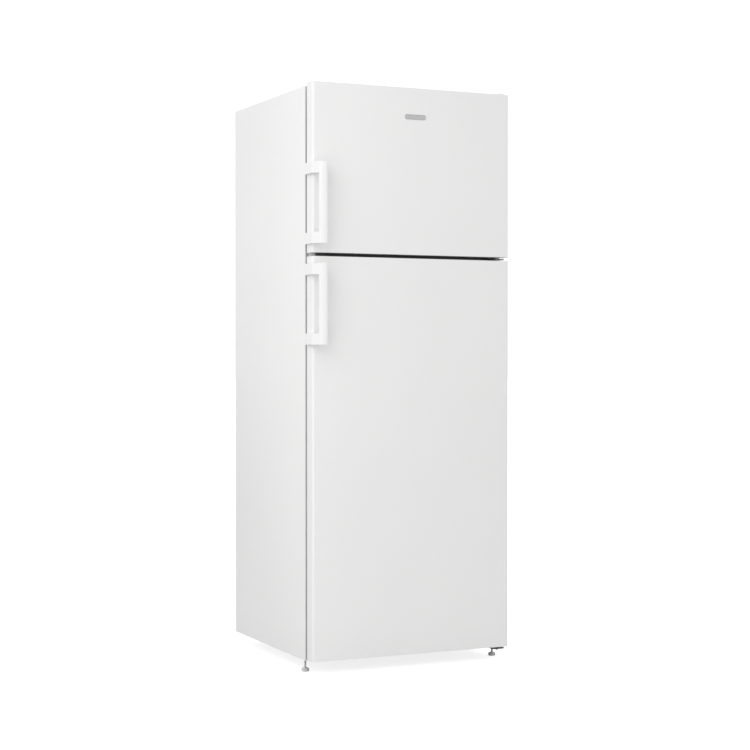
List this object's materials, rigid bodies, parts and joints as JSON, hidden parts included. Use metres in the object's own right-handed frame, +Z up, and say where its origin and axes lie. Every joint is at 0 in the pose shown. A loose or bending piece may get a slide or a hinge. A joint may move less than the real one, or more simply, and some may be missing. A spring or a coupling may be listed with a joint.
{
  "type": "top freezer refrigerator",
  "caption": "Tall white household refrigerator with a freezer door above a larger fridge door, side bracket handles, levelling feet and rear rollers.",
  "frame": {"origin": "middle of the whole object's outer box, on the floor", "axes": "+X to the viewer's right when facing the doors (the hinge side), +Y towards the rear wall, +Z up"},
  "size_m": [0.71, 0.7466, 1.866],
  "materials": {
    "white_paint": "smooth baked paint",
    "white_plastic": "moulded, glossy",
    "lining_white": "thermoformed sheet",
    "rail_grey": "dark grey paint",
    "zinc_steel": "zinc plated",
    "bright_steel": "drawn",
    "black_steel": "black enamel",
    "charcoal_plastic": "matt moulded",
    "grey_plastic": "moulded feet",
    "evaporator_aluminium": "mill finish",
    "gasket_grey": "soft extruded seal",
    "rigid_foam": "closed-cell rigid foam",
    "shelf_glass": "toughened, polished",
    "clear_plastic": "clear moulded"
  },
  "bodies": {
    "cabinet": {"side_panel_left": "white_paint", "side_panel_right": "white_paint", "top_panel": "white_paint", "rear_panel": "zinc_steel", "base_panel": "zinc_steel", "front_base_rail": "rail_grey", "mullion_rail": "rail_grey", "freezer_liner": "lining_white", "fridge_liner": "lining_white", "foam_body": "rigid_foam", "compressor_plate": "zinc_steel", "rear_axle": "bright_steel", "compressor": "black_steel", "drip_tray": "charcoal_plastic", "condenser_coil": "black_steel", "bay_cover": "zinc_steel", "top_hinge": "zinc_steel", "top_hinge_cover": "white_plastic", "middle_hinge": "rail_grey", "bottom_hinge": "rail_grey", "evaporator": "evaporator_aluminium", "evaporator_cover": "lining_white", "defrost_heater": "bright_steel", "freezer_shelf": "shelf_glass", "air_duct_cover": "lining_white", "control_box": "lining_white", "lamp_cover": "clear_plastic", "glass_shelf_lower": "shelf_glass", "glass_shelf_middle": "shelf_glass", "glass_shelf_upper": "shelf_glass", "crisper_cover": "shelf_glass"},
    "freezer_door": {"freezer_door_skin": "white_paint", "freezer_door_cap_bottom": "white_plastic", "freezer_door_cap_top": "white_plastic", "freezer_door_foam": "rigid_foam", "freezer_door_liner": "lining_white", "freezer_door_gasket": "gasket_grey", "freezer_door_handle": "white_plastic"},
    "fridge_door": {"fridge_door_skin": "white_paint", "fridge_door_cap_bottom": "white_plastic", "fridge_door_cap_top": "white_plastic", "fridge_door_foam": "rigid_foam", "fridge_door_liner": "lining_white", "fridge_door_gasket": "gasket_grey", "fridge_door_handle": "white_plastic", "dairy_bin": "clear_plastic"},
    "freezer_bin_lower": {"freezer_bin_lower": "clear_plastic"},
    "freezer_bin_upper": {"freezer_bin_upper": "clear_plastic"},
    "bottle_bin": {"bottle_bin": "clear_plastic"},
    "middle_bin": {"middle_bin": "clear_plastic"},
    "dairy_flap": {"dairy_flap": "clear_plastic"},
    "door_switch": {"door_switch_button": "white_plastic"},
    "thermostat": {"thermostat_knob": "white_plastic"},
    "fan": {"fan_rotor": "charcoal_plastic"},
    "crisper_left": {"crisper_left": "clear_plastic"},
    "crisper_right": {"crisper_right": "clear_plastic"},
    "foot_left": {"foot_left": "grey_plastic"},
    "foot_right": {"foot_right": "grey_plastic"},
    "roller_left": {"roller_left": "charcoal_plastic"},
    "roller_right": {"roller_right": "charcoal_plastic"}
  },
  "joints": [
    {"name": "freezer_door_hinge", "type": "hinge", "parent": "cabinet", "child": "freezer_door", "pos_m": [0.327, -0.29625, 1.593], "axis": [0, 0, 1], "range_deg": [0, 110]},
    {"name": "fridge_door_hinge", "type": "hinge", "parent": "cabinet", "child": "fridge_door", "pos_m": [0.327, -0.29625, 0.679], "axis": [0, 0, 1], "range_deg": [0, 110]},
    {"name": "door_switch_travel", "type": "slide", "parent": "cabinet", "child": "door_switch", "axis": [0, -1, 0], "range_m": [0, 0.008]},
    {"name": "thermostat_turn", "type": "hinge", "parent": "cabinet", "child": "thermostat", "pos_m": [0.075, -0.12325, 1.24], "axis": [0, 0, 1], "range_deg": [-150, 150]},
    {"name": "fan_spin", "type": "hinge", "parent": "cabinet", "child": "fan", "pos_m": [0.005, 0.25075, 1.69], "axis": [0, 1, 0], "continuous": true},
    {"name": "crisper_left_slide", "type": "slide", "parent": "cabinet", "child": "crisper_left", "axis": [0, -1, 0], "range_m": [0, 0.05]},
    {"name": "crisper_right_slide", "type": "slide", "parent": "cabinet", "child": "crisper_right", "axis": [0, -1, 0], "range_m": [0, 0.05]},
    {"name": "freezer_bin_lower_lift", "type": "slide", "parent": "freezer_door", "child": "freezer_bin_lower", "axis": [0, 0, 1], "range_m": [0, 0.025]},
    {"name": "freezer_bin_upper_lift", "type": "slide", "parent": "freezer_door", "child": "freezer_bin_upper", "axis": [0, 0, 1], "range_m": [0, 0.025]},
    {"name": "bottle_bin_lift", "type": "slide", "parent": "fridge_door", "child": "bottle_bin", "axis": [0, 0, 1], "range_m": [0, 0.025]},
    {"name": "middle_bin_lift", "type": "slide", "parent": "fridge_door", "child": "middle_bin", "axis": [0, 0, 1], "range_m": [0, 0.025]},
    {"name": "dairy_flap_hinge", "type": "hinge", "parent": "fridge_door", "child": "dairy_flap", "pos_m": [0.005, -0.26625, 1.16], "axis": [1, 0, 0], "range_deg": [0, 70]},
    {"name": "foot_left_turn", "type": "hinge", "parent": "cabinet", "child": "foot_left", "pos_m": [-0.333, -0.23325, 0.02], "axis": [0, 0, 1], "continuous": true},
    {"name": "foot_right_turn", "type": "hinge", "parent": "cabinet", "child": "foot_right", "pos_m": [0.343, -0.23325, 0.02], "axis": [0, 0, 1], "continuous": true},
    {"name": "roller_left_spin", "type": "hinge", "parent": "cabinet", "child": "roller_left", "pos_m": [-0.235, 0.31675, 0.02], "axis": [1, 0, 0], "continuous": true},
    {"name": "roller_right_spin", "type": "hinge", "parent": "cabinet", "child": "roller_right", "pos_m": [0.245, 0.31675, 0.02], "axis": [1, 0, 0], "continuous": true}
  ],
  "couplings": [
    {"joint": "door_switch_travel", "follows": "fridge_door_hinge", "m_per_rad": 0.004115}
  ]
}
